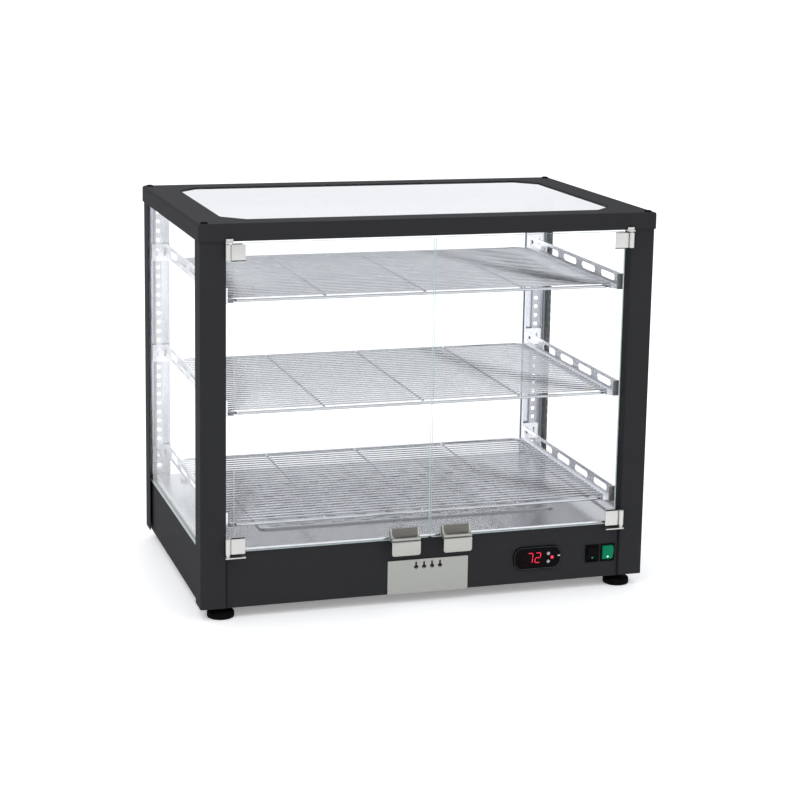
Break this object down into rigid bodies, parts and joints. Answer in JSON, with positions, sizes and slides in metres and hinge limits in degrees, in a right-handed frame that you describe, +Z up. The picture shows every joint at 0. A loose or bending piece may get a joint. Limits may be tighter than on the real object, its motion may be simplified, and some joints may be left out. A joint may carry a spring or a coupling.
{
  "type": "hot food display case",
  "caption": "Countertop heated glass display case with wire shelves, hinged glass doors, a water drawer, a panel thermostat and rocker switches.",
  "frame": {"origin": "on the counter, under the middle of the case", "axes": "+X to the right as the doors are faced, +Y to the back, +Z up; the doors and controls face -Y"},
  "size_m": [0.78, 0.5301, 0.65],
  "materials": {
    "black_paint": "fine textured black powder coat",
    "brushed_stainless": "brushed stainless steel sheet",
    "satin_stainless": "satin stainless steel",
    "chrome_wire": "bright chrome-plated wire",
    "clear_glass": "clear toughened glass with polished edges",
    "light_strip": "white light strip with small lamps",
    "black_plastic": "black moulded plastic",
    "green_plastic": "translucent green rocker",
    "red_plastic": "red push button",
    "foot_rubber": "black rubber",
    "heater_steel": "heat-darkened element sheath"
  },
  "bodies": {
    "case": {"post_front_left": "black_paint", "foot_front_left": "foot_rubber", "post_front_right": "black_paint", "foot_front_right": "foot_rubber", "post_rear_left": "black_paint", "foot_rear_left": "foot_rubber", "post_rear_right": "black_paint", "foot_rear_right": "foot_rubber", "top_frame": "black_paint", "base_pan": "black_paint", "front_fascia": "black_paint", "rear_panel": "black_paint", "side_panel_left": "black_paint", "side_panel_right": "black_paint", "top_glass": "clear_glass", "side_glass_left": "clear_glass", "side_glass_right": "clear_glass", "rear_glass": "clear_glass", "deck_plate": "brushed_stainless", "vent_plate": "brushed_stainless", "upright_left": "brushed_stainless", "upright_right": "brushed_stainless", "light_strip_left": "light_strip", "light_strip_right": "light_strip", "rail_top_left": "brushed_stainless", "rail_top_right": "brushed_stainless", "wire_shelf_top": "chrome_wire", "rail_middle_left": "brushed_stainless", "rail_middle_right": "brushed_stainless", "wire_shelf_middle": "chrome_wire", "rail_bottom_left": "brushed_stainless", "rail_bottom_right": "brushed_stainless", "wire_shelf_bottom": "chrome_wire", "hinge_bracket_left_lower": "satin_stainless", "hinge_bracket_left_upper": "satin_stainless", "hinge_bracket_right_lower": "satin_stainless", "hinge_bracket_right_upper": "satin_stainless", "thermostat": "black_plastic", "switch_frame_power": "black_plastic", "switch_frame_light": "black_plastic", "heater_element": "heater_steel", "fan_housing": "black_plastic", "temperature_probe": "satin_stainless", "cable_gland": "black_plastic"},
    "door_left": {"door_glass_left": "clear_glass", "handle_left": "satin_stainless", "hinge_clip_left_lower": "satin_stainless", "hinge_clip_left_upper": "satin_stainless"},
    "door_right": {"door_glass_right": "clear_glass", "handle_right": "satin_stainless", "hinge_clip_right_lower": "satin_stainless", "hinge_clip_right_upper": "satin_stainless"},
    "water_drawer": {"drawer_front": "satin_stainless", "drawer_tank": "satin_stainless"},
    "rocker_power": {"rocker_power": "black_plastic"},
    "rocker_light": {"rocker_light": "green_plastic"},
    "button_up": {"button_up": "black_plastic"},
    "button_down": {"button_down": "black_plastic"},
    "button_set": {"button_set": "red_plastic"},
    "fan_rotor": {"fan_rotor": "black_plastic"}
  },
  "joints": [
    {"name": "door_left_hinge", "type": "hinge", "parent": "case", "child": "door_left", "pos_m": [-0.3435, -0.253, 0.367], "axis": [0, 0, -1], "range_deg": [0, 105]},
    {"name": "door_right_hinge", "type": "hinge", "parent": "case", "child": "door_right", "pos_m": [0.3435, -0.253, 0.367], "axis": [0, 0, 1], "range_deg": [0, 105]},
    {"name": "water_drawer_slide", "type": "slide", "parent": "case", "child": "water_drawer", "axis": [0, -1, 0], "range_m": [0, 0.19]},
    {"name": "rocker_power_hinge", "type": "hinge", "parent": "case", "child": "rocker_power", "pos_m": [0.2968, -0.241, 0.0605], "axis": [-1, 0, 0], "range_deg": [0, 14]},
    {"name": "rocker_light_hinge", "type": "hinge", "parent": "case", "child": "rocker_light", "pos_m": [0.3253, -0.241, 0.0605], "axis": [-1, 0, 0], "range_deg": [0, 14]},
    {"name": "button_up_slide", "type": "slide", "parent": "case", "child": "button_up", "axis": [0, 1, 0], "range_m": [0, 0.0006], "stiffness_N_per_m": 400},
    {"name": "button_down_slide", "type": "slide", "parent": "case", "child": "button_down", "axis": [0, 1, 0], "range_m": [0, 0.0006], "stiffness_N_per_m": 400},
    {"name": "button_set_slide", "type": "slide", "parent": "case", "child": "button_set", "axis": [0, 1, 0], "range_m": [0, 0.0006], "stiffness_N_per_m": 400},
    {"name": "fan_spin", "type": "hinge", "parent": "case", "child": "fan_rotor", "pos_m": [0, 0.11, 0.042], "axis": [0, 0, 1], "continuous": true}
  ]
}
